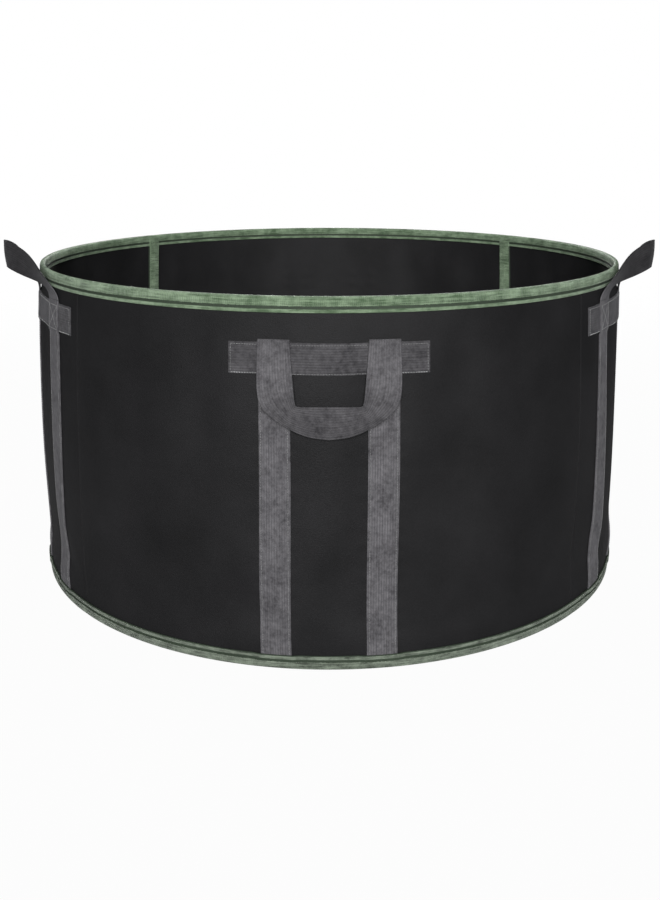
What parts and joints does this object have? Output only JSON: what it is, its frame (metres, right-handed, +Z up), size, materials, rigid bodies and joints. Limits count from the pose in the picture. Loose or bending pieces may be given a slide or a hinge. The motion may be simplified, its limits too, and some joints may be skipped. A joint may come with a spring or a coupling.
{
  "type": "fabric grow bag",
  "caption": "Round felt grow bag, open at the top, with bound green-stitched edges, inside seams and webbing lifting handles whose loops swing at their folds.",
  "frame": {"origin": "centre of the flat underside, on the floor plane", "axes": "+Z up through the opening; the front handle faces -Y; +X is to the right seen from the front"},
  "size_m": [0.9922, 1.0018, 0.553],
  "materials": {
    "felt": "matte non-woven felt, slightly fuzzy",
    "edge_felt": "matte folded felt binding",
    "webbing": "matte woven polypropylene webbing with a faint sheen",
    "green_thread": "dense overlock thread with a soft sheen",
    "grey_thread": "bonded sewing thread"
  },
  "bodies": {
    "bag": {"base_binding": "edge_felt", "base_disc": "felt", "base_overlock_thread": "green_thread", "base_topstitch_thread": "green_thread", "front_band": "webbing", "front_left_band": "webbing", "front_left_stitching": "grey_thread", "front_left_strap_left": "webbing", "front_left_strap_right": "webbing", "front_right_band": "webbing", "front_right_stitching": "grey_thread", "front_right_strap_left": "webbing", "front_right_strap_right": "webbing", "front_stitching": "grey_thread", "front_strap_left": "webbing", "front_strap_right": "webbing", "rear_band": "webbing", "rear_left_band": "webbing", "rear_left_stitching": "grey_thread", "rear_left_strap_left": "webbing", "rear_left_strap_right": "webbing", "rear_right_band": "webbing", "rear_right_stitching": "grey_thread", "rear_right_strap_left": "webbing", "rear_right_strap_right": "webbing", "rear_stitching": "grey_thread", "rear_strap_left": "webbing", "rear_strap_right": "webbing", "rim_binding": "edge_felt", "rim_overlock_thread": "green_thread", "rim_topstitch_thread": "green_thread", "seam_binding_front_left": "edge_felt", "seam_binding_front_right": "edge_felt", "seam_binding_rear_left": "edge_felt", "seam_binding_rear_right": "edge_felt", "seam_overlock_front_left": "green_thread", "seam_overlock_front_right": "green_thread", "seam_overlock_rear_left": "green_thread", "seam_overlock_rear_right": "green_thread", "wall_panel_front": "felt", "wall_panel_left": "felt", "wall_panel_rear": "felt", "wall_panel_right": "felt"},
    "front_loop": {"front_loop": "webbing"},
    "front_right_loop": {"front_right_loop": "webbing"},
    "rear_right_loop": {"rear_right_loop": "webbing"},
    "rear_loop": {"rear_loop": "webbing"},
    "rear_left_loop": {"rear_left_loop": "webbing"},
    "front_left_loop": {"front_left_loop": "webbing"}
  },
  "joints": [
    {"name": "front_loop_swing", "type": "hinge", "parent": "bag", "child": "front_loop", "pos_m": [0, -0.485, 0.452], "axis": [-1, 0, 0], "range_deg": [0, 165]},
    {"name": "front_right_loop_swing", "type": "hinge", "parent": "bag", "child": "front_right_loop", "pos_m": [0.4434, -0.19279, 0.468], "axis": [-0.3987, -0.9171, 0], "range_deg": [-125, 10], "stiffness_Nm_per_rad": 0.3},
    {"name": "rear_right_loop_swing", "type": "hinge", "parent": "bag", "child": "rear_right_loop", "pos_m": [0.44477, 0.19339, 0.468], "axis": [0.3987, -0.9171, 0], "range_deg": [0, 165]},
    {"name": "rear_loop_swing", "type": "hinge", "parent": "bag", "child": "rear_loop", "pos_m": [0, 0.485, 0.452], "axis": [1, 0, 0], "range_deg": [0, 165]},
    {"name": "rear_left_loop_swing", "type": "hinge", "parent": "bag", "child": "rear_left_loop", "pos_m": [-0.44477, 0.19339, 0.468], "axis": [0.3987, 0.9171, 0], "range_deg": [0, 165]},
    {"name": "front_left_loop_swing", "type": "hinge", "parent": "bag", "child": "front_left_loop", "pos_m": [-0.4434, -0.19279, 0.468], "axis": [-0.3987, 0.9171, 0], "range_deg": [-125, 10], "stiffness_Nm_per_rad": 0.3}
  ]
}
